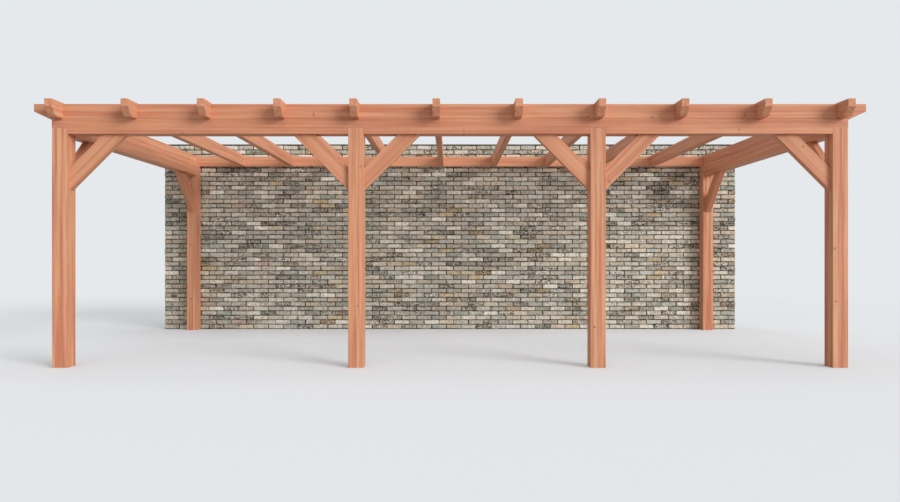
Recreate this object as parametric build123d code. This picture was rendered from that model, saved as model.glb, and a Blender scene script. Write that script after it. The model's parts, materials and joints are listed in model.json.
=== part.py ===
from build123d import *
import os

# Attached veranda: an open timber frame of planed Douglas fir, built against a free end of brick wall.
# Millimetres. X runs along the front, Y from the open front towards the wall, Z up.
# The origin is on the ground, under the middle of the whole object's bounding box.

# Posts
POST_SECTION = 145.0
BAY_LEFT = 2790.0
BAY_MIDDLE = 2282.5
BAY_RIGHT = 2282.5
HEADROOM = 2205.0
POST_HOUSING = 55.0

# Ring of lower beams, as thick as the posts, and the beam laid on its front side
LOWER_BEAM_HEIGHT = 141.0
UPPER_BEAM_HEIGHT = 140.0
TAIL_LENGTH = 168.0
TAIL_NOSE = 72.0
TAIL_RAKE = 145.0

# Rafters
RAFTER_WIDTH = 68.0
RAFTER_HEIGHT = 150.0
RAFTER_OVERHANG = 184.0
RAFTER_NOSE = 72.0
RAFTER_RAKE = 67.0
LAP_DEPTH = 70.0
RAFTERS_PER_BAY = (4, 3, 3)

# Plate along the wall, and the tongues of the rafters that rest in it
PLATE_THICKNESS = 45.0
PLATE_HEIGHT = 140.0
TONGUE_LENGTH = 22.0
TONGUE_DROP = 70.0

# Braces at 45 degrees, with a blind tenon at each end
BRACE_THICKNESS = 70.0
BRACE_DEPTH = 150.0
BRACE_LEG = 530.0
BRACE_TENON_THICKNESS = 24.0
BRACE_TENON_LENGTH = 30.0
BRACE_TENON_SHOULDER = 25.0

# Blind tenon at the front end of each side beam
BEAM_TENON_WIDTH = 45.0
BEAM_TENON_HEIGHT = 50.0
BEAM_TENON_LENGTH = 60.0

# Brick wall
WALL_DISTANCE = 3410.0
WALL_PAST_POSTS = 372.5
WALL_THICKNESS = 210.0
COURSE_HEIGHT = 65.2
COURSES = 41

# Fits and edges
JOINT_FIT = 0.5
ARRIS = 3.0

# Places that follow from the sizes above
FRAME_LENGTH = BAY_LEFT + BAY_MIDDLE + BAY_RIGHT + POST_SECTION
HALF_LENGTH = FRAME_LENGTH / 2
FRONT = -(WALL_DISTANCE + WALL_THICKNESS - RAFTER_OVERHANG) / 2
FRONT_BACK = FRONT + POST_SECTION
WALL_FACE = FRONT + WALL_DISTANCE
PLATE_FACE = WALL_FACE - PLATE_THICKNESS
POST_TOP = HEADROOM + POST_HOUSING
SEAM = HEADROOM + LOWER_BEAM_HEIGHT
BEAM_TOP = SEAM + UPPER_BEAM_HEIGHT
LAP_LEVEL = SEAM + LAP_DEPTH
RAFTER_TOP = SEAM + RAFTER_HEIGHT
TONGUE_LEVEL = SEAM + TONGUE_DROP
POST_X_1 = -HALF_LENGTH + POST_SECTION / 2
POST_X_2 = POST_X_1 + BAY_LEFT
POST_X_3 = POST_X_2 + BAY_MIDDLE
POST_X_4 = POST_X_3 + BAY_RIGHT
FRONT_POST_X = (POST_X_1, POST_X_2, POST_X_3, POST_X_4)
FRONT_ROW_Y = FRONT + POST_SECTION / 2
BACK_ROW_Y = WALL_FACE - POST_SECTION / 2


def block(x, y, z):
    """A box from its low and high limits along each axis."""
    size = (x[1] - x[0], y[1] - y[0], z[1] - z[0])
    middle = ((x[0] + x[1]) / 2, (y[0] + y[1]) / 2, (z[0] + z[1]) / 2)
    return Pos(*middle) * Box(*size)


def timber(x, y, z, along):
    """A planed timber: a box whose long arrises are eased."""
    stick = block(x, y, z)
    return chamfer(stick.edges().filter_by(along), ARRIS)


def about(centre, width):
    """The low and high limits of a width about its centre."""
    return (centre - width / 2, centre + width / 2)


def prism(points, plane, depth):
    """A closed outline, drawn on a plane and pushed out to both sides of it."""
    outline = Polyline(*points, close=True)
    return extrude(plane * make_face(outline), amount=depth / 2, both=True)


def rafter_places():
    """The centre of every rafter: one over each front post and equal spaces within a bay."""
    places = []
    for bay, count in enumerate(RAFTERS_PER_BAY):
        start = FRONT_POST_X[bay]
        step = (FRONT_POST_X[bay + 1] - start) / count
        places += [start + step * number for number in range(count)]
    places.append(FRONT_POST_X[-1])
    return places


def brace_tenons(clearance):
    """Both blind tenons of a brace, in the corner frame, grown by a clearance for their mortises."""
    upper_leg = BRACE_LEG - BRACE_DEPTH * 2 ** 0.5
    thick = about(0, BRACE_TENON_THICKNESS + 2 * clearance)
    span = (upper_leg + BRACE_TENON_SHOULDER - clearance, BRACE_LEG - BRACE_TENON_SHOULDER + clearance)
    depth = BRACE_TENON_LENGTH + clearance
    into_post = block((-depth, 0), thick, (-span[1], -span[0]))
    into_beam = block(span, thick, (0, depth))
    return [into_post, into_beam]


def brace():
    """A brace in its corner frame: X away from the post, Z up, the origin in the corner."""
    middle = (BRACE_LEG - BRACE_DEPTH / 2 ** 0.5) / 2
    length = 2 * BRACE_LEG
    stick = timber(about(0, length), about(0, BRACE_THICKNESS), about(0, BRACE_DEPTH), Axis.X)
    stick = Pos(middle, 0, -middle) * Rot(0, -45, 0) * stick
    corner = block((0, BRACE_LEG), about(0, 2 * BRACE_THICKNESS), (-BRACE_LEG, 0))
    into_post, into_beam = brace_tenons(0)
    return (stick & corner) + into_post + into_beam


def brace_places():
    """Name, corner and turn of every brace. The turn is about Z, from +X."""
    half = POST_SECTION / 2
    places = {}
    for number in (1, 2, 3):
        x = FRONT_POST_X[number - 1] + half
        places[f"front_brace_{number}_right"] = (x, FRONT_ROW_Y, 0)
    for number in (2, 3, 4):
        x = FRONT_POST_X[number - 1] - half
        places[f"front_brace_{number}_left"] = (x, FRONT_ROW_Y, 180)
    for side, x in (("left", POST_X_1), ("right", POST_X_4)):
        places[f"side_brace_{side}_front"] = (x, FRONT_BACK, 90)
        places[f"side_brace_{side}_back"] = (x, WALL_FACE - POST_SECTION, -90)
    return places


def brace_mortises():
    """The mortises of every brace, as solids to cut from posts and beams."""
    cuts = []
    for x, y, turn in brace_places().values():
        for tenon in brace_tenons(JOINT_FIT):
            cuts.append(Pos(x, y, HEADROOM) * Rot(0, 0, turn) * tenon)
    return cuts


def cut_where_they_meet(piece, cuts):
    """Take from a piece the cuts whose boxes reach into it."""
    limits = piece.bounding_box()
    for cut in cuts:
        box = cut.bounding_box()
        apart = (
            box.min.X >= limits.max.X or box.max.X <= limits.min.X
            or box.min.Y >= limits.max.Y or box.max.Y <= limits.min.Y
            or box.min.Z >= limits.max.Z or box.max.Z <= limits.min.Z
        )
        if not apart:
            piece = piece - cut
    return piece


def post(x, y, mortises):
    """A post from the ground to the top of its housing in the beam."""
    stick = timber(about(x, POST_SECTION), about(y, POST_SECTION), (0, POST_TOP), Axis.Z)
    return cut_where_they_meet(stick, mortises)


def housing(x, y):
    """The seat of a post's head in the underside of a beam, open to the beam's faces."""
    wide = POST_SECTION + 2 * JOINT_FIT
    return block(about(x, wide), about(y, wide), (HEADROOM - ARRIS, POST_TOP))


def beam_tenon(x, clearance):
    """The tenon of a side beam in the back of the lower front beam, over the post's head."""
    above = (POST_TOP + SEAM - BEAM_TENON_HEIGHT) / 2
    wide = about(x, BEAM_TENON_WIDTH + 2 * clearance)
    deep = (FRONT_BACK - BEAM_TENON_LENGTH - clearance, FRONT_BACK)
    high = (above - clearance, above + BEAM_TENON_HEIGHT + clearance)
    return block(wide, deep, high)


def front_beam_lower(mortises):
    """The beam on the front posts: housed over each head, mortised for braces and side beams."""
    stick = timber((-HALF_LENGTH, HALF_LENGTH), (FRONT, FRONT_BACK), (HEADROOM, SEAM), Axis.X)
    for x in FRONT_POST_X:
        stick = stick - housing(x, FRONT_ROW_Y)
    for x in (POST_X_1, POST_X_4):
        stick = stick - beam_tenon(x, JOINT_FIT)
    return cut_where_they_meet(stick, mortises)


def front_beam_upper():
    """The beam laid on the lower one: raked tails past the posts, and a half lap for every rafter."""
    reach = HALF_LENGTH + TAIL_LENGTH
    stick = timber((-reach, reach), (FRONT, FRONT_BACK), (SEAM, BEAM_TOP), Axis.X)
    nose = BEAM_TOP - TAIL_NOSE
    for side in (-1, 1):
        waste = [
            (side * reach, nose),
            (side * (reach - TAIL_RAKE), SEAM),
            (side * (reach - TAIL_RAKE), SEAM - TAIL_NOSE),
            (side * (reach + TAIL_RAKE), SEAM - TAIL_NOSE),
            (side * (reach + TAIL_RAKE), nose),
        ]
        plane = Plane.XZ.offset(-FRONT_ROW_Y)
        stick = stick - prism(waste, plane, 2 * POST_SECTION)
    for x in rafter_places():
        wide = about(x, RAFTER_WIDTH + 2 * JOINT_FIT)
        stick = stick - block(wide, (FRONT - ARRIS, FRONT_BACK + ARRIS), (LAP_LEVEL, RAFTER_TOP))
    return stick


def side_beam(x, mortises):
    """A beam from the front beam to the wall, over the back post."""
    stick = timber(about(x, POST_SECTION), (FRONT_BACK, WALL_FACE), (HEADROOM, SEAM), Axis.Y)
    stick = stick - housing(x, BACK_ROW_Y)
    stick = cut_where_they_meet(stick, mortises)
    return stick + beam_tenon(x, 0)


def wall_plate():
    """The plate fixed flat on the wall, with a seat for the tongue of every rafter."""
    plate = timber((-HALF_LENGTH, HALF_LENGTH), (PLATE_FACE, WALL_FACE), (SEAM, SEAM + PLATE_HEIGHT), Axis.X)
    for x in rafter_places():
        wide = about(x, RAFTER_WIDTH + 2 * JOINT_FIT)
        deep = (PLATE_FACE - ARRIS, PLATE_FACE + TONGUE_LENGTH + JOINT_FIT)
        plate = plate - block(wide, deep, (TONGUE_LEVEL, RAFTER_TOP))
    return plate


def rafter(x):
    """A rafter: raked nose, half lap over the front beam, tongue in the wall plate."""
    tip = FRONT - RAFTER_OVERHANG
    wide = about(x, RAFTER_WIDTH)
    stick = timber(wide, (tip, PLATE_FACE + TONGUE_LENGTH), (SEAM, RAFTER_TOP), Axis.Y)
    nose = RAFTER_TOP - RAFTER_NOSE
    waste = [
        (tip, nose),
        (tip + RAFTER_RAKE, SEAM),
        (tip + RAFTER_RAKE, SEAM - RAFTER_NOSE),
        (tip - RAFTER_RAKE, SEAM - RAFTER_NOSE),
        (tip - RAFTER_RAKE, nose),
    ]
    stick = stick - prism(waste, Plane.YZ.offset(x), 2 * RAFTER_WIDTH)
    across = about(x, 2 * RAFTER_WIDTH)
    lap = (FRONT - JOINT_FIT, FRONT_BACK + JOINT_FIT)
    stick = stick - block(across, lap, (SEAM - ARRIS, LAP_LEVEL))
    past = (PLATE_FACE, WALL_FACE)
    return stick - block(across, past, (SEAM - ARRIS, TONGUE_LEVEL))


def brick_wall():
    """The wall as one mass of masonry, a whole number of courses high."""
    reach = HALF_LENGTH + WALL_PAST_POSTS
    return block((-reach, reach), (WALL_FACE, WALL_FACE + WALL_THICKNESS), (0, COURSES * COURSE_HEIGHT))


def veranda():
    """Every piece of the veranda by its name."""
    mortises = brace_mortises()
    pieces = {}
    for number, x in enumerate(FRONT_POST_X, start=1):
        pieces[f"front_post_{number}"] = post(x, FRONT_ROW_Y, mortises)
    for side, x in (("left", POST_X_1), ("right", POST_X_4)):
        pieces[f"back_post_{side}"] = post(x, BACK_ROW_Y, mortises)
        pieces[f"side_beam_{side}"] = side_beam(x, mortises)
    pieces["front_beam_lower"] = front_beam_lower(mortises)
    pieces["front_beam_upper"] = front_beam_upper()
    pieces["wall_plate"] = wall_plate()
    for number, x in enumerate(rafter_places(), start=1):
        pieces[f"rafter_{number}"] = rafter(x)
    for name, (x, y, turn) in brace_places().items():
        pieces[name] = Pos(x, y, HEADROOM) * Rot(0, 0, turn) * brace()
    pieces["brick_wall"] = brick_wall()
    return pieces


os.makedirs("parts", exist_ok=True)
for name, piece in veranda().items():
    export_step(piece, f"parts/{name}.step")
    print(name, round(piece.volume / 1e6, 2), "litres")
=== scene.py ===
# %% [markdown]
# # A timber veranda against an old brick wall
#
# The object is an open veranda frame of planed, stained Douglas fir, with four front posts, eleven flat
# rafters and ten braces. It stands against a free end of weathered brick wall.
#
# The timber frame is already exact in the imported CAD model, so this lesson leaves its shapes alone and
# gives every timber its own piece of wood. The wall is one plain block in the CAD model, and that block
# is replaced here by real courses of bricks.

# %% The frame and its box
import json
import math
import random

import bmesh
import bpy
from mathutils import Matrix, Vector, noise

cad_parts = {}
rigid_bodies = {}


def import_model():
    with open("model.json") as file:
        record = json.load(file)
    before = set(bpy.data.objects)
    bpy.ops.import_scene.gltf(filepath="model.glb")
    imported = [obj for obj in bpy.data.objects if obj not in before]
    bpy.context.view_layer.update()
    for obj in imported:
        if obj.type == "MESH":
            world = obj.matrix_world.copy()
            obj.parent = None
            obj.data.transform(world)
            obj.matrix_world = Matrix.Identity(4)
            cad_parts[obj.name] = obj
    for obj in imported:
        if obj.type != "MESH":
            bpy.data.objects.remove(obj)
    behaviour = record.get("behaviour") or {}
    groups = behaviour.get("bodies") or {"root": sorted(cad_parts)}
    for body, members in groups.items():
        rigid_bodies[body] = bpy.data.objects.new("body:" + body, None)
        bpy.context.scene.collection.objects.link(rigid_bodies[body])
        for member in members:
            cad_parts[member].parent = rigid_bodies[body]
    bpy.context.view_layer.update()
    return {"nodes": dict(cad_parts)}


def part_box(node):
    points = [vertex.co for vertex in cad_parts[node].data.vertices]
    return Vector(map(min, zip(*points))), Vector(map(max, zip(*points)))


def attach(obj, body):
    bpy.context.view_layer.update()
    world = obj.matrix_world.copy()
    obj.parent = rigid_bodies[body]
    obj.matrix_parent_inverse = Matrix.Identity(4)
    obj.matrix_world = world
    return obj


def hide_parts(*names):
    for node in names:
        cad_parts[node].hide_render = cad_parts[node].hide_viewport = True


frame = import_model()
print("timbers and wall:", len(frame["nodes"]))

# %% [markdown]
# ## The camera
#
# The photograph looks straight at the front from a little over a metre up, and its vertical lines are
# upright. A camera that looks level does the same. It could be aimed at the middle of the frame, but that
# would tilt it and make the posts lean, so it stays level and only its shift frames the picture.

# %% The camera
CAMERA_PLACE = (0.0, -8.093, 1.05)
PICTURE_WIDTH = 900
FOCAL_PIXELS = 677
HORIZON_BELOW_MIDDLE = 5.4
SENSOR_WIDTH = 36.0

lens = bpy.data.cameras.new("camera")
lens.sensor_width = SENSOR_WIDTH
lens.lens = SENSOR_WIDTH * FOCAL_PIXELS / PICTURE_WIDTH
lens.shift_y = HORIZON_BELOW_MIDDLE / PICTURE_WIDTH
camera = bpy.data.objects.new("camera", lens)
camera.location = CAMERA_PLACE
camera.rotation_euler = (math.radians(90), 0, 0)
bpy.context.scene.collection.objects.link(camera)
bpy.context.scene.camera = camera
bpy.context.scene.view_settings.view_transform = "Standard"
print("lens in mm:", round(lens.lens, 2))

# %% [markdown]
# ## Two helpers for materials
#
# Colours are picked as they show on a screen, as sRGB hex values, while the renderer counts in linear
# light. One function turns the first into the second. The other one adds a node to a tree, sets what it
# has to say and links what it takes in, so that every tree below reads from its source to its end.


# %% Helpers for colours and nodes
def colour(hex_value):
    """An sRGB hex colour as linear red, green, blue and alpha."""
    parts = [int(hex_value[n:n + 2], 16) / 255 for n in (1, 3, 5)]
    return tuple(p / 12.92 if p <= 0.04045 else ((p + 0.055) / 1.055) ** 2.4 for p in parts) + (1.0,)


def add(tree, kind, takes=None, **settings):
    """A new node with its settings. takes gives a value or another node's output to each input named."""
    made = tree.nodes.new(kind)
    for name, value in settings.items():
        setattr(made, name, value)
    for socket, value in (takes or {}).items():
        if isinstance(value, bpy.types.NodeSocket):
            tree.links.new(value, made.inputs[socket])
        else:
            made.inputs[socket].default_value = value
    return made


print("white is", colour("#FFFFFF"))

# %% [markdown]
# ## Light of a pale studio
#
# The picture has a soft key light from the right and the front, low enough to reach under the roof. The
# posts are brightest on their right sides and darkest on their left sides. A second, very wide light from
# above lights the floor and leaves the undersides of the beams dark. A third one, weak and from behind on
# the left, lifts the left sides of the posts a little and leaves the shadows on the front as they are.
#
# Area lamps could do this, but they fade over eight metres of veranda. Suns with a wide angle light both
# ends alike. A strength of pi makes a white surface that faces the sun render as white, so the levels
# below are shares of that.

# %% The lamps and the world
KEY_LEVEL = 0.80
TOP_LEVEL = 0.42
RIM_LEVEL = 0.07
AMBIENT_LEVEL = 0.39
BACKDROP = "#E5E9EC"
LAMP_DISTANCE = 10.0


def sun(name, towards_light, level, width):
    """A soft white sun, as many degrees wide as width says. The level is the share of its own colour that
    a surface shows when it faces the sun."""
    lamp = bpy.data.lights.new(name, "SUN")
    lamp.energy = level * math.pi
    lamp.angle = math.radians(width)
    made = bpy.data.objects.new(name, lamp)
    made.rotation_euler = Vector(towards_light).to_track_quat("Z", "Y").to_euler()
    made.location = Vector(towards_light) * LAMP_DISTANCE
    bpy.context.scene.collection.objects.link(made)


KEY_RISE = math.radians(18)
KEY_TURN = math.radians(50)
key_direction = (
    math.sin(KEY_TURN) * math.cos(KEY_RISE), -math.cos(KEY_TURN) * math.cos(KEY_RISE), math.sin(KEY_RISE))
sun("key_light", key_direction, KEY_LEVEL, width=30)
sun("top_light", (0.1, -0.15, 1.0), TOP_LEVEL, width=60)
sun("rim_light", (-1.0, 0.7, 0.6), RIM_LEVEL, width=70)

world = bpy.data.worlds.new("pale_studio")
bpy.context.scene.world = world
world.use_nodes = True
sky = world.node_tree
sky.nodes.clear()
ray = add(sky, "ShaderNodeLightPath")
seen = add(sky, "ShaderNodeMath", {0: ray.outputs["Is Camera Ray"], 1: ray.outputs["Is Glossy Ray"]},
           operation="MAXIMUM")
seen = add(sky, "ShaderNodeMath", {0: seen.outputs[0], 1: ray.outputs["Is Transmission Ray"]},
           operation="MAXIMUM")
shown = add(sky, "ShaderNodeBackground", {"Color": colour(BACKDROP), "Strength": 1.0})
lighting = add(sky, "ShaderNodeBackground", {"Color": (1, 1, 1, 1), "Strength": AMBIENT_LEVEL})
either = add(sky, "ShaderNodeMixShader", {0: seen.outputs[0], 1: lighting.outputs[0], 2: shown.outputs[0]})
add(sky, "ShaderNodeOutputWorld", {"Surface": either.outputs[0]})
print("key light comes from", [round(v, 2) for v in key_direction])

# %% [markdown]
# ## The floor
#
# The floor is plain and pale and has no visible edge. A disc with a large radius fades out towards its rim,
# where the world takes over in much the same colour. A ray that the camera sends sees the pale colour, and
# a ray that a surface sends for its light sees a darker one, so the undersides of the beams stay as dark as
# they are in the picture while the shadows on the floor stay.

# %% The floor
FLOOR_SHOWN = "#DCDFE2"
FLOOR_BOUNCED = "#B1AFAD"
FLOOR_RADIUS = 22.0
FADE_STARTS = 7.0
FADE_ENDS = 17.0
FLOOR_CORNERS = 96

disc = bmesh.new()
bmesh.ops.create_circle(disc, cap_ends=True, radius=FLOOR_RADIUS, segments=FLOOR_CORNERS)
floor_mesh = bpy.data.meshes.new("floor")
disc.to_mesh(floor_mesh)
disc.free()
floor = bpy.data.objects.new("floor", floor_mesh)
bpy.context.scene.collection.objects.link(floor)

screed = bpy.data.materials.new("pale_floor")
screed.use_nodes = True
tree = screed.node_tree
tree.nodes.clear()
place = add(tree, "ShaderNodeTexCoord")
reach = add(tree, "ShaderNodeVectorMath", {0: place.outputs["Object"]}, operation="LENGTH")
fade = add(tree, "ShaderNodeMapRange", {
    "Value": reach.outputs["Value"], "From Min": FADE_STARTS, "From Max": FADE_ENDS,
    "To Min": 0.0, "To Max": 1.0}, interpolation_type="SMOOTHERSTEP")
ray = add(tree, "ShaderNodeLightPath")
tone = add(tree, "ShaderNodeMix", {
    0: ray.outputs["Is Camera Ray"], 6: colour(FLOOR_BOUNCED), 7: colour(FLOOR_SHOWN)}, data_type="RGBA")
matt = add(tree, "ShaderNodeBsdfDiffuse", {"Color": tone.outputs[2]})
clear = add(tree, "ShaderNodeBsdfTransparent")
faded = add(tree, "ShaderNodeMixShader", {0: fade.outputs[0], 1: matt.outputs[0], 2: clear.outputs[0]})
add(tree, "ShaderNodeOutputMaterial", {"Surface": faded.outputs[0]})
floor_mesh.materials.append(screed)
print("floor radius in m:", FLOOR_RADIUS)

# %% [markdown]
# ## Planed and stained Douglas fir
#
# A sawn timber is a straight stick cut out of a log, so its pattern is solid: the same growth rings show
# on the long faces as straight streaks and on the ends as arcs. A flat image on each face could not join
# up round the corners. This tree follows the log instead. Its coordinates run along the stick, the pith
# lies beside it, and the distance to the pith gives the ring.
#
# What the eye sees, from coarse to fine:
#
# - soft streaks, 15 to 30 mm wide and more than a metre long, from a golden tan to a rose red
# - growth rings 6 mm apart, a light early part and a thin dark late part
# - small knots, which are branches that run out from the pith, with the rings bent round them
# - fine fibres along the grain, about 1.5 mm wide
# - arrises that are a little paler, partly where handling wears the stain and partly as a painted highlight
#   of the light they catch
#
# Redness moves a whole stick from the golden stain towards the rose one, and Figure says how strongly its
# streaks differ. The other inputs place the stick in its log.

# %% The log as a group of nodes
WOOD_GOLD = "#DEAA83"
WOOD_PEACH = "#D69774"
WOOD_ROSE = "#C2795C"
WOOD_LATE = "#B06A4B"
WOOD_KNOT = "#A05B42"
# The paler colour of the arrises stands for worn stain and for a painted highlight.
WOOD_ARRIS_WEAR_AND_HIGHLIGHT = "#DFAE90"

LOG_INPUTS = {
    "Place": "Vector", "Pith": "Vector", "Half Width": "Float", "Half Height": "Float", "Seed": "Float",
    "Redness": "Float", "Figure": "Float"}
LOG_OUTPUTS = {"Color": "Color", "Roughness": "Float", "Height": "Float"}

fir = bpy.data.node_groups.new("douglas_fir_log", "ShaderNodeTree")
for name, kind in LOG_INPUTS.items():
    fir.interface.new_socket(name, in_out="INPUT", socket_type="NodeSocket" + kind)
for name, kind in LOG_OUTPUTS.items():
    fir.interface.new_socket(name, in_out="OUTPUT", socket_type="NodeSocket" + kind)
log = add(fir, "NodeGroupInput")
cut = add(fir, "ShaderNodeSeparateXYZ", {0: log.outputs["Place"]})

# A noise is NOISE_MEAN on average and mostly lies between NOISE_LOW and NOISE_HIGH. The scales of the
# noises are counts per metre, across the stick twice and then along it.
NOISE_MEAN = 0.5
NOISE_LOW = 0.3
NOISE_HIGH = 0.7

# The stick wanders a little against the log, so that the streaks aren't ruled lines.
WANDERS = (5.0, 5.0, 1.6)
WANDER_REACH = (0.022, 0.022, 0.0)
shifted = add(fir, "ShaderNodeVectorMath", {0: log.outputs["Place"], 1: WANDERS}, operation="MULTIPLY")
wander = add(fir, "ShaderNodeTexNoise", {
    "Vector": shifted.outputs[0], "W": log.outputs["Seed"], "Scale": 1.0, "Detail": 2.0},
    noise_dimensions="4D")
centred = add(fir, "ShaderNodeVectorMath", {0: wander.outputs["Color"], 1: (NOISE_MEAN,) * 3},
              operation="SUBTRACT")
strayed = add(fir, "ShaderNodeVectorMath", {0: centred.outputs[0], 1: WANDER_REACH}, operation="MULTIPLY")
moved = add(fir, "ShaderNodeVectorMath", {0: log.outputs["Place"], 1: strayed.outputs[0]}, operation="ADD")
from_pith = add(fir, "ShaderNodeVectorMath", {0: moved.outputs[0], 1: log.outputs["Pith"]},
                operation="SUBTRACT")
side = add(fir, "ShaderNodeSeparateXYZ", {0: from_pith.outputs[0]})
flat = add(fir, "ShaderNodeCombineXYZ", {0: side.outputs[0], 1: side.outputs[1]})
radius = add(fir, "ShaderNodeVectorMath", {0: flat.outputs[0]}, operation="LENGTH")
angle = add(fir, "ShaderNodeMath", {0: side.outputs[1], 1: side.outputs[0]}, operation="ARCTAN2")

# Branches: cells round the log and along it, of which fewer than half hold one. A cell's luck, over the
# span of KNOT_LUCK, gives its knot a radius over the span of KNOT_RADIUS, and none where that is below 0.
CELLS_ROUND = 1.5
CELLS_ALONG = 2.6
KNOT_LUCK = (0.62, 0.72)
KNOT_RADIUS = (-0.004, 0.010)
KNOT_RIM = (-0.004, 0.008)
KNOT_COVER = 0.85
BEND_REACH = 0.035
turned = add(fir, "ShaderNodeMath", {0: angle.outputs[0], 1: CELLS_ROUND}, operation="MULTIPLY")
climbed = add(fir, "ShaderNodeMath", {0: cut.outputs[2], 1: CELLS_ALONG, 2: log.outputs["Seed"]},
              operation="MULTIPLY_ADD")
bark = add(fir, "ShaderNodeCombineXYZ", {0: turned.outputs[0], 1: climbed.outputs[0]})
branch = add(fir, "ShaderNodeTexVoronoi", {"Vector": bark.outputs[0], "Scale": 1.0}, voronoi_dimensions="2D")
off = add(fir, "ShaderNodeVectorMath", {0: bark.outputs[0], 1: branch.outputs["Position"]},
          operation="SUBTRACT")
off = add(fir, "ShaderNodeSeparateXYZ", {0: off.outputs[0]})
around = add(fir, "ShaderNodeMath", {0: off.outputs[0], 1: radius.outputs["Value"]}, operation="MULTIPLY")
around = add(fir, "ShaderNodeMath", {0: around.outputs[0], 1: 1 / CELLS_ROUND}, operation="MULTIPLY")
along = add(fir, "ShaderNodeMath", {0: off.outputs[1], 1: 1 / CELLS_ALONG}, operation="MULTIPLY")
apart = add(fir, "ShaderNodeCombineXYZ", {0: around.outputs[0], 1: along.outputs[0]})
apart = add(fir, "ShaderNodeVectorMath", {0: apart.outputs[0]}, operation="LENGTH")
luck = add(fir, "ShaderNodeSeparateColor", {0: branch.outputs["Color"]})
thick = add(fir, "ShaderNodeMapRange", {
    "Value": luck.outputs[0], "From Min": KNOT_LUCK[0], "From Max": KNOT_LUCK[1],
    "To Min": KNOT_RADIUS[0], "To Max": KNOT_RADIUS[1]})
knot = add(fir, "ShaderNodeMath", {0: thick.outputs[0], 1: apart.outputs["Value"]}, operation="SUBTRACT")
knot = add(fir, "ShaderNodeMapRange", {
    "Value": knot.outputs[0], "From Min": KNOT_RIM[0], "From Max": KNOT_RIM[1], "To Max": KNOT_COVER},
    interpolation_type="SMOOTHSTEP")
bend = add(fir, "ShaderNodeMath", {0: apart.outputs["Value"], 1: thick.outputs[0]}, operation="SUBTRACT")
bend = add(fir, "ShaderNodeMapRange", {
    "Value": bend.outputs[0], "From Min": BEND_REACH, "From Max": 0.0, "To Min": 0.0, "To Max": 1.0},
    interpolation_type="SMOOTHSTEP")
bend = add(fir, "ShaderNodeMath", {0: bend.outputs[0], 1: thick.outputs[0]}, operation="MULTIPLY")
grown = add(fir, "ShaderNodeMath", {0: radius.outputs["Value"], 1: bend.outputs[0]}, operation="SUBTRACT")

# Broad streaks and rings both follow the distance to the pith, and are counted per metre of it. A ring's
# late wood darkens from LATE_STARTS to LATE_ENDS of its width, and ends sharply after that.
STREAKS = 62.0
RINGS = 165.0
RING_CHANGE = 0.31
RING_UNEVENNESS = 2.2
LATE_STARTS = 0.45
LATE_ENDS = 0.92
streak = add(fir, "ShaderNodeMath", {0: grown.outputs[0], 1: STREAKS, 2: log.outputs["Seed"]},
             operation="MULTIPLY_ADD")
streak = add(fir, "ShaderNodeTexNoise", {
    "W": streak.outputs[0], "Scale": 1.0, "Detail": 2.0, "Roughness": 0.6}, noise_dimensions="1D")
year = add(fir, "ShaderNodeMath", {0: grown.outputs[0], 1: RINGS}, operation="MULTIPLY")
uneven = add(fir, "ShaderNodeTexNoise", {"W": year.outputs[0], "Scale": RING_CHANGE, "Detail": 0.0},
             noise_dimensions="1D")
year = add(fir, "ShaderNodeMath", {0: uneven.outputs[0], 1: RING_UNEVENNESS, 2: year.outputs[0]},
           operation="MULTIPLY_ADD")
year = add(fir, "ShaderNodeMath", {0: year.outputs[0]}, operation="FRACT")
late = add(fir, "ShaderNodeMapRange", {
    "Value": year.outputs[0], "From Min": LATE_STARTS, "From Max": LATE_ENDS},
    interpolation_type="SMOOTHSTEP")
ended = add(fir, "ShaderNodeMapRange", {
    "Value": year.outputs[0], "From Min": LATE_ENDS, "From Max": 1.0, "To Min": 1.0, "To Max": 0.0})
late = add(fir, "ShaderNodeMath", {0: late.outputs[0], 1: ended.outputs[0]}, operation="MULTIPLY")

# Fibres and strands are very long and thin spots, and the stain soaks in unevenly along the stick.
FIBRES = (700.0, 700.0, 14.0)
STRANDS = (36.0, 36.0, 0.7)
SOAKS = (9.0, 9.0, 1.6)
fibre = add(fir, "ShaderNodeVectorMath", {0: moved.outputs[0], 1: FIBRES}, operation="MULTIPLY")
fibre = add(fir, "ShaderNodeTexNoise", {"Vector": fibre.outputs[0], "Scale": 1.0, "Detail": 2.0})
strand = add(fir, "ShaderNodeVectorMath", {0: moved.outputs[0], 1: STRANDS}, operation="MULTIPLY")
strand = add(fir, "ShaderNodeTexNoise", {
    "Vector": strand.outputs[0], "W": log.outputs["Seed"], "Scale": 1.0, "Detail": 3.0, "Roughness": 0.6},
    noise_dimensions="4D")
soak = add(fir, "ShaderNodeVectorMath", {0: log.outputs["Place"], 1: SOAKS}, operation="MULTIPLY")
soak = add(fir, "ShaderNodeTexNoise", {
    "Vector": soak.outputs[0], "W": log.outputs["Seed"], "Scale": 1.0, "Detail": 3.0}, noise_dimensions="4D")

# The colours, laid one over the other. A share says how much of a layer shows, and shades are factors.
STREAK_SHARE = 0.3
RING_SHARE = 0.22
SOAK_SHADES = (0.93, 1.06)
FIBRE_SHADES = (0.94, 1.05)
WOOD_STOPS = ((0.25, WOOD_GOLD), (0.5, WOOD_PEACH), (0.8, WOOD_ROSE))
stripe = add(fir, "ShaderNodeMath", {0: strand.outputs[0], 1: NOISE_MEAN}, operation="SUBTRACT")
mixed = add(fir, "ShaderNodeMath", {
    0: stripe.outputs[0], 1: log.outputs["Figure"], 2: log.outputs["Redness"]}, operation="MULTIPLY_ADD")
mixed = add(fir, "ShaderNodeMath", {0: streak.outputs[0], 1: STREAK_SHARE, 2: mixed.outputs[0]},
            operation="MULTIPLY_ADD")
base = add(fir, "ShaderNodeValToRGB", {0: mixed.outputs[0]})
for stop, (where, tone) in enumerate(WOOD_STOPS):
    point = base.color_ramp.elements[stop] if stop < 2 else base.color_ramp.elements.new(1.0)
    point.position = where
    point.color = colour(tone)
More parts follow.
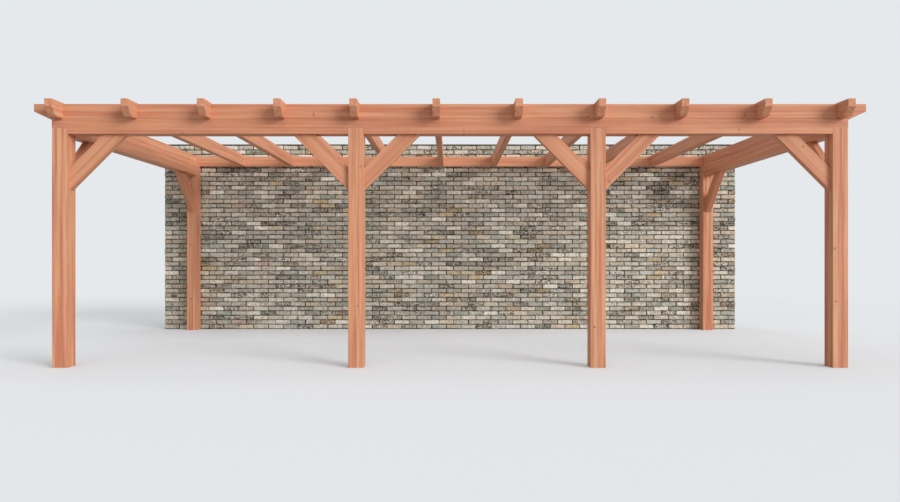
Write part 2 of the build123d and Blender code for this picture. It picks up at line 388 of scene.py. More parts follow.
ringed = add(fir, "ShaderNodeMath", {0: late.outputs[0], 1: RING_SHARE}, operation="MULTIPLY")
ringed = add(fir, "ShaderNodeMix", {0: ringed.outputs[0], 6: base.outputs[0], 7: colour(WOOD_LATE)},
             data_type="RGBA")
shade = add(fir, "ShaderNodeMapRange", {
    "Value": soak.outputs[0], "From Min": NOISE_LOW, "From Max": NOISE_HIGH,
    "To Min": SOAK_SHADES[0], "To Max": SOAK_SHADES[1]})
grain = add(fir, "ShaderNodeMapRange", {
    "Value": fibre.outputs[0], "From Min": NOISE_LOW, "From Max": NOISE_HIGH,
    "To Min": FIBRE_SHADES[0], "To Max": FIBRE_SHADES[1]})
shade = add(fir, "ShaderNodeMath", {0: shade.outputs[0], 1: grain.outputs[0]}, operation="MULTIPLY")
shaded = add(fir, "ShaderNodeVectorMath", {0: ringed.outputs[2], "Scale": shade.outputs[0]},
             operation="SCALE")
knotted = add(fir, "ShaderNodeMix", {0: knot.outputs[0], 6: shaded.outputs[0], 7: colour(WOOD_KNOT)},
              data_type="RGBA")

# How near an arris is: both distances from the middle are close to the half sizes there. Over a band that
# starts
# 6 mm from it and is full at 1 mm, the stain thins and a painted highlight lies, for the light a rounded
# arris catches.
ARRIS_BAND = (-0.006, -0.001)
ARRIS_WEAR_AND_HIGHLIGHT = 0.18
edge_x = add(fir, "ShaderNodeMath", {0: cut.outputs[0]}, operation="ABSOLUTE")
edge_x = add(fir, "ShaderNodeMath", {0: edge_x.outputs[0], 1: log.outputs["Half Width"]},
             operation="SUBTRACT")
edge_y = add(fir, "ShaderNodeMath", {0: cut.outputs[1]}, operation="ABSOLUTE")
edge_y = add(fir, "ShaderNodeMath", {0: edge_y.outputs[0], 1: log.outputs["Half Height"]},
             operation="SUBTRACT")
arris = add(fir, "ShaderNodeMath", {0: edge_x.outputs[0], 1: edge_y.outputs[0]}, operation="MINIMUM")
arris = add(fir, "ShaderNodeMapRange", {
    "Value": arris.outputs[0], "From Min": ARRIS_BAND[0], "From Max": ARRIS_BAND[1],
    "To Min": 0.0, "To Max": ARRIS_WEAR_AND_HIGHLIGHT}, interpolation_type="SMOOTHSTEP")
# The arrises turn paler: worn stain and a painted highlight.
edged = add(fir, "ShaderNodeMix", {0: arris.outputs[0], 6: knotted.outputs[2], 7: colour(WOOD_ARRIS_WEAR_AND_HIGHLIGHT)},
           data_type="RGBA")

# Late wood stands a little proud of the planed face, and what stands proud is smoother.
LATE_RELIEF = 0.6
RELIEF_SPAN = (0.3, 1.2)
ROUGH_TO_SMOOTH = (0.66, 0.5)
raised = add(fir, "ShaderNodeMath", {0: late.outputs[0], 1: LATE_RELIEF, 2: fibre.outputs[0]},
             operation="MULTIPLY_ADD")
dull = add(fir, "ShaderNodeMapRange", {
    "Value": raised.outputs[0], "From Min": RELIEF_SPAN[0], "From Max": RELIEF_SPAN[1],
    "To Min": ROUGH_TO_SMOOTH[0], "To Max": ROUGH_TO_SMOOTH[1]})
add(fir, "NodeGroupOutput", {
    "Color": edged.outputs[2], "Roughness": dull.outputs[0], "Height": raised.outputs[0]})
print("nodes in the log:", len(fir.nodes))

# %% [markdown]
# ## Every timber gets its own stick
#
# Each timber lies its own way, so a Mapping node of the texture kind centres the log on the stick and turns
# its length along the stick. Posts stand, beams run along the front, rafters run to the wall, and braces
# lie at 45 degrees. The pith lies beyond a corner, drawn anew each time, so no two timbers are alike. The
# posts have the liveliest figure in the picture, and the front beams are the reddest.

# %% One finish for each timber
BRACE_LEG = 0.530
BRACE_DEPTH = 0.150
BRACE_THICKNESS = 0.070
BRACE_TENON = 0.030
QUARTER = math.pi / 2
EIGHTH = math.pi / 4
PITH_BESIDE = (0.12, 0.18)
SEED_SPAN = (0, 60)
REDNESS = (0.37, 0.43)
FRONT_BEAM_REDDER = 0.04
POST_FIGURE = 2.1
PLAIN_FIGURE = 1.1


def stick_of(name):
    """The middle of a timber, the turn that lays +Z along it, and its half sizes across the grain."""
    low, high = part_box(name)
    middle = (low + high) / 2
    half = (high - low) / 2
    if "brace" not in name:
        if half.z > max(half.x, half.y):
            return middle, (0, 0, 0), (half.x, half.y)
        if half.x > half.y:
            return middle, (0, QUARTER, 0), (half.z, half.y)
        return middle, (-QUARTER, 0, 0), (half.x, half.z)
    inward = (BRACE_LEG - BRACE_DEPTH / math.sqrt(2)) / 2
    middle.z = high.z - BRACE_TENON - inward
    if "front_brace" in name:
        out = 1 if name.endswith("right") else -1
        middle.x = low.x + BRACE_TENON + inward if out > 0 else high.x - BRACE_TENON - inward
        return middle, (0, out * EIGHTH, 0), (BRACE_DEPTH / 2, BRACE_THICKNESS / 2)
    out = 1 if name.endswith("front") else -1
    middle.y = low.y + BRACE_TENON + inward if out > 0 else high.y - BRACE_TENON - inward
    return middle, (-out * EIGHTH, 0, 0), (BRACE_THICKNESS / 2, BRACE_DEPTH / 2)


def stain(name, number):
    """Stained Douglas fir for one timber."""
    luck = random.Random(number * 7 + 3)
    middle, turn, half = stick_of(name)
    made = bpy.data.materials.new("stained_douglas_fir_" + name)
    made.use_nodes = True
    tree = made.node_tree
    tree.nodes.clear()
    place = add(tree, "ShaderNodeTexCoord")
    laid = add(tree, "ShaderNodeMapping", {
        "Vector": place.outputs["Object"], "Location": middle, "Rotation": turn}, vector_type="TEXTURE")
    wood = add(tree, "ShaderNodeGroup", node_tree=fir)
    tree.links.new(laid.outputs[0], wood.inputs["Place"])
    corner = luck.choice((-1, 1)), luck.choice((-1, 1))
    wood.inputs["Pith"].default_value = (
        corner[0] * luck.uniform(*PITH_BESIDE), corner[1] * luck.uniform(*PITH_BESIDE), 0)
    wood.inputs["Half Width"].default_value = half[0]
    wood.inputs["Half Height"].default_value = half[1]
    redder = FRONT_BEAM_REDDER if "front_beam" in name else 0.0
    wood.inputs["Seed"].default_value = luck.uniform(*SEED_SPAN)
    wood.inputs["Redness"].default_value = luck.uniform(*REDNESS) + redder
    wood.inputs["Figure"].default_value = POST_FIGURE if "post" in name else PLAIN_FIGURE
    bump = add(tree, "ShaderNodeBump", {
        "Height": wood.outputs["Height"], "Strength": 0.35, "Distance": 0.0004})
    planed = add(tree, "ShaderNodeBsdfPrincipled", {
        "Base Color": wood.outputs["Color"], "Roughness": wood.outputs["Roughness"],
        "Normal": bump.outputs[0], "IOR": 1.45, "Specular IOR Level": 0.35})
    add(tree, "ShaderNodeOutputMaterial", {"Surface": planed.outputs[0]})
    return made


timbers = sorted(name for name in frame["nodes"] if name != "brick_wall")
for number, name in enumerate(timbers):
    mesh = frame["nodes"][name].data
    mesh.materials.clear()
    mesh.materials.append(stain(name, number))
print("timbers finished:", len(timbers))

# %% [markdown]
# ## One brick
#
# The wall is of old hand-made bricks in stretcher bond, each about 205 by 100 by 56 mm, and their arrises
# have gone round. One brick is repeated 3,198 times, so it has few faces: a block with two cuts along its
# length and one along its height, so that its edges can wander, and one small bevel all round.
#
# A joint is 9 mm thick between two courses and 9.5 mm between two bricks of one course.

# %% A single brick as a pattern
WALL_LOW, WALL_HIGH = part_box("brick_wall")
COURSES = 41
BRICKS = 39
JOINT = 0.0090
UPRIGHT_JOINT = 0.0095
LEAF = 0.100
SET_BACK = 0.0022
TOP_BED = 0.024
ARRIS_ROUNDING = 0.0045
course_height = (WALL_HIGH.z - WALL_LOW.z - TOP_BED) / COURSES
pitch = (WALL_HIGH.x - WALL_LOW.x + UPRIGHT_JOINT) / (BRICKS - 0.5)
brick_size = Vector((pitch - UPRIGHT_JOINT, LEAF, course_height - JOINT))

block = bmesh.new()
bmesh.ops.create_cube(block, size=1.0, matrix=Matrix.Diagonal((*brick_size, 1.0)))
bmesh.ops.bevel(block, geom=block.edges[:], offset=ARRIS_ROUNDING, segments=1, affect="EDGES", profile=0.5)
for where, normal in ((-brick_size.x / 6, (1, 0, 0)), (brick_size.x / 6, (1, 0, 0)), (0.0, (0, 0, 1))):
    spot = Vector(normal) * where
    bmesh.ops.bisect_plane(block, geom=block.verts[:] + block.edges[:] + block.faces[:],
                           plane_co=spot, plane_no=normal)
bmesh.ops.triangulate(block, faces=[f for f in block.faces if len(f.verts) > 4])
brick_mesh = bpy.data.meshes.new("brick_pattern")
block.to_mesh(brick_mesh)
block.free()
brick_pattern = bpy.data.objects.new("brick_pattern", brick_mesh)
triangles = sum(len(f.vertices) - 2 for f in brick_mesh.polygons)
print("brick in mm:", [round(v * 1000, 1) for v in brick_size], "triangles:", triangles)

# %% [markdown]
# ## The bond as Geometry Nodes
#
# In stretcher bond every second course starts with half a brick, so that no two upright joints meet. The
# bricks could be placed one by one in a loop. Geometry Nodes hold the same rule once: a brick's number gives
# its course and its place in it, and its left and right ends are cut off where the wall ends.
#
# Each brick gets three numbers between 0 and 1, tone, tint and ruin, which the finish reads. Each is partly
# the brick's own luck and partly a slow wave over the wall, because bricks of one load are alike. A fourth
# one, within, keeps each point's place in its own brick, so that the finish knows where the arrises are.
# The last step pushes every corner a little, because the arrises of old bricks aren't straight.

# %% The bond
FRONT_SEED = 5
BACK_SEED = 23
NUDGE_LOW = (-0.0028, -0.0006, -0.0011)
NUDGE_HIGH = (0.0028, 0.0010, 0.0011)
TILT_LOW = (-0.012, -0.007, -0.004)
TILT_HIGH = (0.012, 0.007, 0.004)
HEIGHT_SHARES = (0.94, 1.04)
WALL_WAVES = (2.3, 1.0, 6.8)
WAVE_SPAN = (0.25, 0.75)
ARRIS_WAVES = 26.0
ARRIS_REACH = (0.015, 0.004, 0.015)

# Each number's name, what it adds to the seed, and how much of it is the brick's own luck.
BRICK_NUMBERS = (("tone", 11, 0.65), ("tint", 12, 0.50), ("ruin", 13, 0.45))

bond = bpy.data.node_groups.new("stretcher_bond", "GeometryNodeTree")
bond.interface.new_socket("Geometry", in_out="OUTPUT", socket_type="NodeSocketGeometry")
wanted = {
    "Geometry": ("NodeSocketGeometry", None), "Brick": ("NodeSocketObject", brick_pattern),
    "Courses": ("NodeSocketInt", COURSES), "Bricks": ("NodeSocketInt", BRICKS),
    "Pitch": ("NodeSocketFloat", pitch), "Course Height": ("NodeSocketFloat", course_height),
    "Joint": ("NodeSocketFloat", JOINT), "Upright Joint": ("NodeSocketFloat", UPRIGHT_JOINT),
    "Middle": ("NodeSocketFloat", LEAF / 2 + SET_BACK),
    "Seed": ("NodeSocketInt", FRONT_SEED), "Finish": ("NodeSocketMaterial", None)}
sockets = {name: bond.interface.new_socket(name, in_out="INPUT", socket_type=kind)
           for name, (kind, value) in wanted.items()}
given = add(bond, "NodeGroupInput").outputs
total = add(bond, "ShaderNodeMath", {0: given["Courses"], 1: given["Bricks"]}, operation="MULTIPLY")
number = add(bond, "GeometryNodeInputIndex")
share = add(bond, "ShaderNodeMath", {0: number.outputs[0], 1: given["Bricks"]}, operation="DIVIDE")
course = add(bond, "ShaderNodeMath", {0: share.outputs[0]}, operation="FLOOR")
turn = add(bond, "ShaderNodeMath", {0: number.outputs[0], 1: given["Bricks"]}, operation="MODULO")
odd = add(bond, "ShaderNodeMath", {0: course.outputs[0], 1: 2.0}, operation="MODULO")
start = add(bond, "ShaderNodeMath", {0: odd.outputs[0], 1: -0.5, 2: turn.outputs[0]},
            operation="MULTIPLY_ADD")
stop = add(bond, "ShaderNodeMath", {0: start.outputs[0], 1: 1.0}, operation="ADD")
last = add(bond, "ShaderNodeMath", {0: given["Bricks"], 1: 0.5}, operation="SUBTRACT")
start = add(bond, "ShaderNodeMath", {0: start.outputs[0], 1: 0.0}, operation="MAXIMUM")
stop = add(bond, "ShaderNodeMath", {0: stop.outputs[0], 1: last.outputs[0]}, operation="MINIMUM")
left = add(bond, "ShaderNodeMath", {0: start.outputs[0], 1: given["Pitch"]}, operation="MULTIPLY")
right = add(bond, "ShaderNodeMath", {0: stop.outputs[0], 1: given["Pitch"]}, operation="MULTIPLY")
right = add(bond, "ShaderNodeMath", {0: right.outputs[0], 1: given["Upright Joint"]}, operation="SUBTRACT")
width = add(bond, "ShaderNodeMath", {0: right.outputs[0], 1: left.outputs[0]}, operation="SUBTRACT")
centre = add(bond, "ShaderNodeMath", {0: right.outputs[0], 1: left.outputs[0]}, operation="ADD")
centre = add(bond, "ShaderNodeMath", {0: centre.outputs[0], 1: 0.5}, operation="MULTIPLY")
rise = add(bond, "ShaderNodeMath", {0: course.outputs[0], 1: 0.5}, operation="ADD")
rise = add(bond, "ShaderNodeMath", {0: rise.outputs[0], 1: given["Course Height"]}, operation="MULTIPLY")
rise = add(bond, "ShaderNodeMath", {0: given["Joint"], 1: 0.5, 2: rise.outputs[0]}, operation="MULTIPLY_ADD")
spot = add(bond, "ShaderNodeCombineXYZ", {0: centre.outputs[0], 1: given["Middle"], 2: rise.outputs[0]})
points = add(bond, "GeometryNodePoints", {"Count": total.outputs[0], "Position": spot.outputs[0]})

nudge = add(bond, "FunctionNodeRandomValue", {"Min": NUDGE_LOW, "Max": NUDGE_HIGH, "Seed": given["Seed"]},
            data_type="FLOAT_VECTOR")
laid = add(bond, "GeometryNodeSetPosition", {"Geometry": points.outputs[0], "Offset": nudge.outputs[0]})
tilt = add(bond, "FunctionNodeRandomValue", {"Min": TILT_LOW, "Max": TILT_HIGH, "Seed": given["Seed"]},
           data_type="FLOAT_VECTOR")
tilt = add(bond, "FunctionNodeEulerToRotation", {0: tilt.outputs[0]})
fit = add(bond, "ShaderNodeMath", {0: width.outputs[0], 1: brick_size.x}, operation="DIVIDE")
tall = add(bond, "FunctionNodeRandomValue", {
    2: HEIGHT_SHARES[0], 3: HEIGHT_SHARES[1], "Seed": given["Seed"]}, data_type="FLOAT")
sized = add(bond, "ShaderNodeCombineXYZ", {0: fit.outputs[0], 1: 1.0, 2: tall.outputs[1]})
pattern = add(bond, "GeometryNodeObjectInfo", {"Object": given["Brick"]})
corner = add(bond, "GeometryNodeInputPosition")
marked = add(bond, "GeometryNodeStoreNamedAttribute", {
    "Geometry": pattern.outputs["Geometry"], "Name": "within", "Value": corner.outputs[0]},
    data_type="FLOAT_VECTOR", domain="POINT")
bricks = add(bond, "GeometryNodeInstanceOnPoints", {
    "Points": laid.outputs[0], "Instance": marked.outputs[0], "Rotation": tilt.outputs[0],
    "Scale": sized.outputs[0]})
here = add(bond, "GeometryNodeInputPosition")
here = add(bond, "ShaderNodeVectorMath", {0: here.outputs[0], 1: WALL_WAVES}, operation="MULTIPLY")
for name, more, own_share in BRICK_NUMBERS:
    seed = add(bond, "ShaderNodeMath", {0: given["Seed"], 1: more}, operation="ADD")
    chance = add(bond, "FunctionNodeRandomValue", {2: 0.0, 3: 1.0, "Seed": seed.outputs[0]},
                 data_type="FLOAT")
    patch = add(bond, "ShaderNodeTexNoise", {"Vector": here.outputs[0], "W": seed.outputs[0], "Scale": 1.0},
                noise_dimensions="4D")
    patch = add(bond, "ShaderNodeMapRange", {
        "Value": patch.outputs[0], "From Min": WAVE_SPAN[0], "From Max": WAVE_SPAN[1]})
    value = add(bond, "ShaderNodeMix", {0: own_share, 2: patch.outputs[0], 3: chance.outputs[1]})
    bricks = add(bond, "GeometryNodeStoreNamedAttribute", {
        "Geometry": bricks.outputs[0], "Name": name, "Value": value.outputs[0]},
        data_type="FLOAT", domain="INSTANCE")
solid = add(bond, "GeometryNodeRealizeInstances", {0: bricks.outputs[0]})
rough = add(bond, "ShaderNodeTexNoise", {"Scale": ARRIS_WAVES, "Detail": 1.0})
rough = add(bond, "ShaderNodeVectorMath", {0: rough.outputs["Color"], 1: (NOISE_MEAN,) * 3},
            operation="SUBTRACT")
rough = add(bond, "ShaderNodeVectorMath", {0: rough.outputs[0], 1: ARRIS_REACH}, operation="MULTIPLY")
edged = add(bond, "GeometryNodeSetPosition", {"Geometry": solid.outputs[0], "Offset": rough.outputs[0]})
fired = add(bond, "GeometryNodeSetMaterial", {"Geometry": edged.outputs[0], "Material": given["Finish"]})
add(bond, "NodeGroupOutput", {0: fired.outputs[0]})
print("nodes in the bond:", len(bond.nodes))

# %% [markdown]
# ## Weathered brick and recessed mortar
#
# The bricks are fired clay, sand faced, and have stood in the rain for long. They run from cream and grey
# to tan, pink and a mossy green. Soot and moss have darkened them in long level patches half a metre and
# more across, and where frost has broken their faces they are crazed with dark pits. The mortar has
# weathered back behind the bricks and is gritty. Its colour is dark partly of its own and partly as painted
# shade of the recessed joints, so the joints read as thin dark lines.
#
# The scale of each noise is again a count per metre. Blotches are 40 mm across, pocks 12 mm and grit 3 mm.
# Shades are factors, a span is the part of a noise over which a layer comes in, and MOST is how much of
# the layer shows where it is full.

# %% Brick and mortar finishes
BRICK_TINTS = ("#CCA999", "#CFB8A6", "#CBB898", "#D0C2AC", "#D2C7B4", "#DFD7C7", "#CDC5B5", "#C4BFB2",
               "#E4DED1", "#BFB8A9", "#C1C0B5", "#B4B8AA", "#AEAC94", "#C9BA9B")
SOOT = "#6A6355"
MOSS = "#7C8272"
CRACKS = "#38322A"
# The mortar colours hold painted shade of the recessed joints as well as the mortar's own colour.
MORTAR_WITH_PAINTED_SHADE = "#4F483A"
MORTAR_WET_WITH_PAINTED_SHADE = "#3F392E"

FIRED_SHADES = (0.79, 1.16)
BLOTCHES = 26.0
BLOTCH_SHADES = (0.62, 1.31)
POCKS = 80.0
POCK_SPAN = (0.35, 0.65)
POCK_SHADES = (0.84, 1.12)
GRIT = 300.0
GRIT_SHADES = (0.88, 1.1)
SOOT_PATCHES = (1.3, 1.3, 5.0)
SOOT_SPARES_PALE = -0.10
SOOT_SPAN = (0.49, 0.66)
SOOT_MOST = 0.42
MOSS_PATCHES = 2.3
MOSS_SPAN = (0.45, 0.62)
CRAZES = (34.0, 34.0, 55.0)
CRAZE_SPAN = (0.46, 0.56)
SOOT_RUINS = 0.35
RUIN_SPAN = (0.48, 0.70)
# The darker rims round each brick: dirt near the joints and painted shade at the rounded arrises.
DARK_RIM_WAVES = 55.0
DARK_RIM_REACH = 0.018
DARK_RIM_BAND = (0.003, 0.010)
DARK_RIM_MOST = 0.45
BLOTCH_RELIEF = 2.0

brick_finish = bpy.data.materials.new("weathered_clay_brick")
brick_finish.use_nodes = True
clay = brick_finish.node_tree
clay.nodes.clear()
place = add(clay, "ShaderNodeTexCoord").outputs["Object"]
tone = add(clay, "ShaderNodeAttribute", attribute_name="tone").outputs["Fac"]
tint = add(clay, "ShaderNodeAttribute", attribute_name="tint").outputs["Fac"]
body = add(clay, "ShaderNodeValToRGB", {0: tint})
body.color_ramp.interpolation = "CONSTANT"
for n, value in enumerate(BRICK_TINTS):
    element = body.color_ramp.elements[n] if n < 2 else body.color_ramp.elements.new(0.999)
    element.position = n / len(BRICK_TINTS)
    element.color = colour(value)
fired = add(clay, "ShaderNodeMapRange", {"Value": tone, "To Min": FIRED_SHADES[0], "To Max": FIRED_SHADES[1]})
blotch = add(clay, "ShaderNodeTexNoise", {
    "Vector": place, "W": tone, "Scale": BLOTCHES, "Detail": 4.0, "Roughness": 0.62}, noise_dimensions="4D")
blotch = add(clay, "ShaderNodeMapRange", {
    "Value": blotch.outputs[0], "From Min": NOISE_LOW, "From Max": NOISE_HIGH,
    "To Min": BLOTCH_SHADES[0], "To Max": BLOTCH_SHADES[1]})
pock = add(clay, "ShaderNodeTexNoise", {"Vector": place, "W": tone, "Scale": POCKS, "Detail": 2.0},
           noise_dimensions="4D")
pock = add(clay, "ShaderNodeMapRange", {
    "Value": pock.outputs[0], "From Min": POCK_SPAN[0], "From Max": POCK_SPAN[1],
    "To Min": POCK_SHADES[0], "To Max": POCK_SHADES[1]})
blotch = add(clay, "ShaderNodeMath", {0: blotch.outputs[0], 1: pock.outputs[0]}, operation="MULTIPLY")
grit = add(clay, "ShaderNodeTexNoise", {"Vector": place, "Scale": GRIT, "Detail": 2.0})
speck = add(clay, "ShaderNodeMapRange", {
    "Value": grit.outputs[0], "From Min": NOISE_LOW, "From Max": NOISE_HIGH,
    "To Min": GRIT_SHADES[0], "To Max": GRIT_SHADES[1]})
level = add(clay, "ShaderNodeMath", {0: fired.outputs[0], 1: blotch.outputs[0]}, operation="MULTIPLY")
level = add(clay, "ShaderNodeMath", {0: level.outputs[0], 1: speck.outputs[0]}, operation="MULTIPLY")
faced = add(clay, "ShaderNodeVectorMath", {0: body.outputs[0], "Scale": level.outputs[0]}, operation="SCALE")

# Soot and moss lie in patches, a little less on the palest bricks.
wide = add(clay, "ShaderNodeMapping", {"Vector": place, "Scale": SOOT_PATCHES})
patch = add(clay, "ShaderNodeTexNoise", {
    "Vector": wide.outputs[0], "Scale": 1.0, "Detail": 5.0, "Roughness": 0.68})
sooty = add(clay, "ShaderNodeMath", {0: tone, 1: SOOT_SPARES_PALE, 2: patch.outputs[0]},
            operation="MULTIPLY_ADD")
sooty = add(clay, "ShaderNodeMapRange", {
    "Value": sooty.outputs[0], "From Min": SOOT_SPAN[0], "From Max": SOOT_SPAN[1],
    "To Min": 0.0, "To Max": SOOT_MOST}, interpolation_type="SMOOTHSTEP")
green = add(clay, "ShaderNodeTexNoise", {"Vector": place, "Scale": MOSS_PATCHES, "Detail": 3.0})
green = add(clay, "ShaderNodeMapRange", {
    "Value": green.outputs[0], "From Min": MOSS_SPAN[0], "From Max": MOSS_SPAN[1]})
dirt = add(clay, "ShaderNodeMix", {0: green.outputs[0], 6: colour(SOOT), 7: colour(MOSS)}, data_type="RGBA")
aged = add(clay, "ShaderNodeMix", {0: sooty.outputs[0], 6: faced.outputs[0], 7: dirt.outputs[2]},
           data_type="RGBA")

# Frost: the more a brick is ruined, the more of its crazing shows. Sooty bricks stay wet and suffer more.
fine = add(clay, "ShaderNodeMapping", {"Vector": place, "Scale": CRAZES})
crazed = add(clay, "ShaderNodeTexNoise", {
    "Vector": fine.outputs[0], "Scale": 1.0, "Detail": 3.0, "Roughness": 0.6, "Distortion": 1.6})
crazed = add(clay, "ShaderNodeMapRange", {
    "Value": crazed.outputs[0], "From Min": CRAZE_SPAN[0], "From Max": CRAZE_SPAN[1]})
ruin = add(clay, "ShaderNodeAttribute", attribute_name="ruin").outputs["Fac"]
ruin = add(clay, "ShaderNodeMath", {0: sooty.outputs[0], 1: SOOT_RUINS, 2: ruin}, operation="MULTIPLY_ADD")
ruin = add(clay, "ShaderNodeMapRange", {
    "Value": ruin.outputs[0], "From Min": RUIN_SPAN[0], "From Max": RUIN_SPAN[1],
    "To Min": 0.0, "To Max": 1.0})
ruined = add(clay, "ShaderNodeMath", {0: crazed.outputs[0], 1: ruin.outputs[0]}, operation="MULTIPLY")
aged = add(clay, "ShaderNodeMix", {0: ruined.outputs[0], 6: aged.outputs[2], 7: colour(CRACKS)},
           data_type="RGBA")

# Each brick darkens towards its arrises in the mortar's colour: partly dirt near the joints and partly
# painted shade at the rounded arrises. How near an arris is: of the three distances to the faces, the middle
# one.
within = add(clay, "ShaderNodeAttribute", attribute_name="within").outputs["Vector"]
within = add(clay, "ShaderNodeVectorMath", {0: within}, operation="ABSOLUTE")
within = add(clay, "ShaderNodeVectorMath", {0: within.outputs[0], 1: brick_size / 2}, operation="SUBTRACT")
gap = add(clay, "ShaderNodeSeparateXYZ", {0: within.outputs[0]})
less = add(clay, "ShaderNodeMath", {0: gap.outputs[0], 1: gap.outputs[1]}, operation="MINIMUM")
more = add(clay, "ShaderNodeMath", {0: gap.outputs[0], 1: gap.outputs[1]}, operation="MAXIMUM")
more = add(clay, "ShaderNodeMath", {0: more.outputs[0], 1: gap.outputs[2]}, operation="MINIMUM")
arris = add(clay, "ShaderNodeMath", {0: less.outputs[0], 1: more.outputs[0]}, operation="MAXIMUM")
ragged = add(clay, "ShaderNodeTexNoise", {"Vector": place, "Scale": DARK_RIM_WAVES, "Detail": 2.0})
arris = add(clay, "ShaderNodeMath", {0: ragged.outputs[0], 1: DARK_RIM_REACH, 2: arris.outputs[0]},
            operation="MULTIPLY_ADD")
dark_rim = add(clay, "ShaderNodeMapRange", {
    "Value": arris.outputs[0], "From Min": DARK_RIM_BAND[0], "From Max": DARK_RIM_BAND[1],
    "To Min": 0.0, "To Max": DARK_RIM_MOST})
aged = add(clay, "ShaderNodeMix", {0: dark_rim.outputs[0], 6: aged.outputs[2], 7: colour(MORTAR_WITH_PAINTED_SHADE)},
           data_type="RGBA")
pits = add(clay, "ShaderNodeMath", {0: blotch.outputs[0], 1: BLOTCH_RELIEF, 2: grit.outputs[0]},
           operation="MULTIPLY_ADD")
bump = add(clay, "ShaderNodeBump", {"Height": pits.outputs[0], "Strength": 0.6, "Distance": 0.0012})
skin = add(clay, "ShaderNodeBsdfPrincipled", {
    "Base Color": aged.outputs[2], "Roughness": 0.92, "Normal": bump.outputs[0], "IOR": 1.5,
    "Specular IOR Level": 0.2})
add(clay, "ShaderNodeOutputMaterial", {"Surface": skin.outputs[0]})

# The mortar is wet and dark in its stains and paler between them, with grains of sand 2 to 3 mm apart. Both
# of its colours are darkened further by painted shade of the recessed joints.
STAINS = 6.0
SAND = 420.0
WET_AT = 0.75
DRY_AT = 1.0
mortar_painted_shade_finish = bpy.data.materials.new("weathered_lime_mortar_painted_shade")
mortar_painted_shade_finish.use_nodes = True
lime = mortar_painted_shade_finish.node_tree
lime.nodes.clear()
place = add(lime, "ShaderNodeTexCoord").outputs["Object"]
stained = add(lime, "ShaderNodeTexNoise", {"Vector": place, "Scale": STAINS, "Detail": 4.0})
sand = add(lime, "ShaderNodeTexNoise", {"Vector": place, "Scale": SAND, "Detail": 3.0})
level = add(lime, "ShaderNodeMath", {0: stained.outputs[0], 1: sand.outputs[0]}, operation="ADD")
bed = add(lime, "ShaderNodeValToRGB", {0: level.outputs[0]})
bed.color_ramp.elements[0].position = WET_AT
bed.color_ramp.elements[0].color = colour(MORTAR_WET_WITH_PAINTED_SHADE)
bed.color_ramp.elements[1].position = DRY_AT
bed.color_ramp.elements[1].color = colour(MORTAR_WITH_PAINTED_SHADE)
bump = add(lime, "ShaderNodeBump", {"Height": sand.outputs[0], "Strength": 0.8, "Distance": 0.0015})
skin = add(lime, "ShaderNodeBsdfPrincipled", {
    "Base Color": bed.outputs[0], "Roughness": 0.95, "Normal": bump.outputs[0], "IOR": 1.5,
    "Specular IOR Level": 0.15})
add(lime, "ShaderNodeOutputMaterial", {"Surface": skin.outputs[0]})
print("brick tints:", len(BRICK_TINTS))

# %% [markdown]
# ## The two leaves of the wall
#
# A wall one brick thick in stretcher bond is two leaves, back to back, with mortar between them. The same
# tree lays both: the back leaf has another seed and is turned half round.

# %% Lay the leaves
scene_objects = bpy.context.scene.collection.objects


def leaf(name, seed, half_turn):
    """One leaf of the wall, as a plain mesh in its place."""
    carrier = bpy.data.objects.new(name, bpy.data.meshes.new(name + "_start"))
    scene_objects.link(carrier)
    layer = carrier.modifiers.new("bond", "NODES")
    layer.node_group = bond
    for socket, (kind, value) in wanted.items():
        if value is not None:
            layer[sockets[socket].identifier] = value
    layer[sockets["Seed"].identifier] = seed
    layer[sockets["Finish"].identifier] = brick_finish
    depsgraph = bpy.context.evaluated_depsgraph_get()
    mesh = bpy.data.meshes.new_from_object(carrier.evaluated_get(depsgraph))
    carrier.modifiers.clear()
    if half_turn:
        size = WALL_HIGH - WALL_LOW
        mesh.transform(Matrix.Translation((size.x, size.y, 0)) @ Matrix.Rotation(math.pi, 4, "Z"))
    mesh.transform(Matrix.Translation(WALL_LOW))
    mesh.shade_smooth()
    mesh.set_sharp_from_angle(angle=math.radians(28))
    carrier.data = mesh
    return carrier


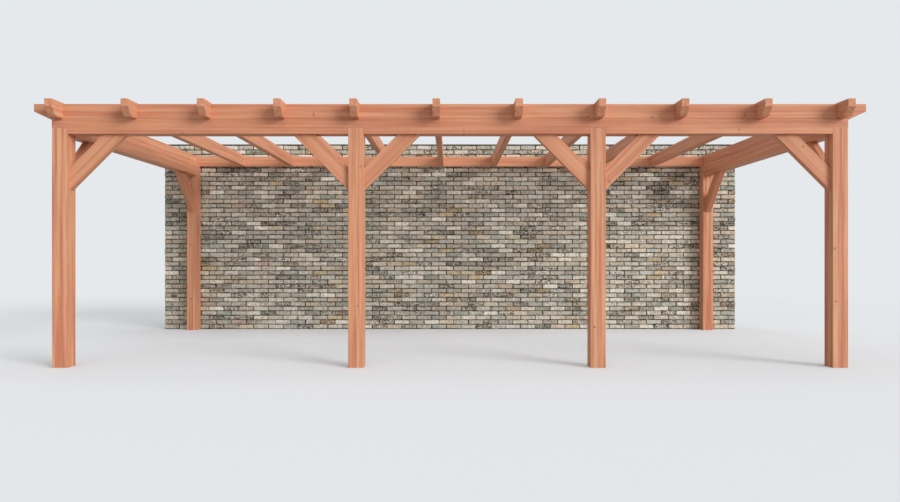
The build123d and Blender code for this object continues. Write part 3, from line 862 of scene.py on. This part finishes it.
leaves = [leaf("brick_leaf_front", FRONT_SEED, False), leaf("brick_leaf_back", BACK_SEED, True)]
for piece in leaves:
    piece.data.calc_loop_triangles()
    print(piece.name, "triangles:", len(piece.data.loop_triangles))

# %% [markdown]
# ## The mortar
#
# The joints show mortar that lies 10 mm behind the faces of the bricks. It is one core that fills the wall
# behind and between the bricks and lies as a bed on the last course, with a slightly uneven surface.
#
# The noise that moves its points starts from the computer's clock, so they don't move the same way in two
# runs. None moves more than 1.6 mm along any axis, and every other shape comes out the same each time.

# %% The mortar core
RECESS = 0.010
TOP_SINK = 0.002
END_SINK = 0.003
CORE_STEP = 0.05
CORE_WAVES = 9.0
CORE_REACH = 0.0016
FOOT_STAYS = 0.001

core = bmesh.new()
low = WALL_LOW + Vector((END_SINK, RECESS + SET_BACK, 0))
high = WALL_HIGH - Vector((END_SINK, RECESS + SET_BACK, TOP_SINK))
core_size = high - low
stretched = Matrix.Diagonal((*core_size, 1.0))
bmesh.ops.create_cube(core, size=1.0, matrix=Matrix.Translation((low + high) / 2) @ stretched)
for axis in range(3):
    normal = Vector([float(n == axis) for n in range(3)])
    steps = max(2, round(core_size[axis] / CORE_STEP))
    for n in range(1, steps):
        spot = low + normal * core_size[axis] * n / steps
        bmesh.ops.bisect_plane(core, geom=core.verts[:] + core.edges[:] + core.faces[:],
                               plane_co=spot, plane_no=normal)
for vertex in core.verts:
    if vertex.co.z > low.z + FOOT_STAYS:
        vertex.co += noise.noise_vector(vertex.co * CORE_WAVES) * CORE_REACH
core_mesh = bpy.data.meshes.new("mortar_core")
core.to_mesh(core_mesh)
core.free()
core_mesh.materials.append(mortar_painted_shade_finish)
mortar = bpy.data.objects.new("mortar_core", core_mesh)
scene_objects.link(mortar)
core_mesh.shade_smooth()
core_mesh.set_sharp_from_angle(angle=math.radians(40))

for piece in leaves + [mortar]:
    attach(piece, "root")
    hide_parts("brick_wall")
bpy.data.objects.remove(brick_pattern)
print("mortar faces:", len(core_mesh.polygons))
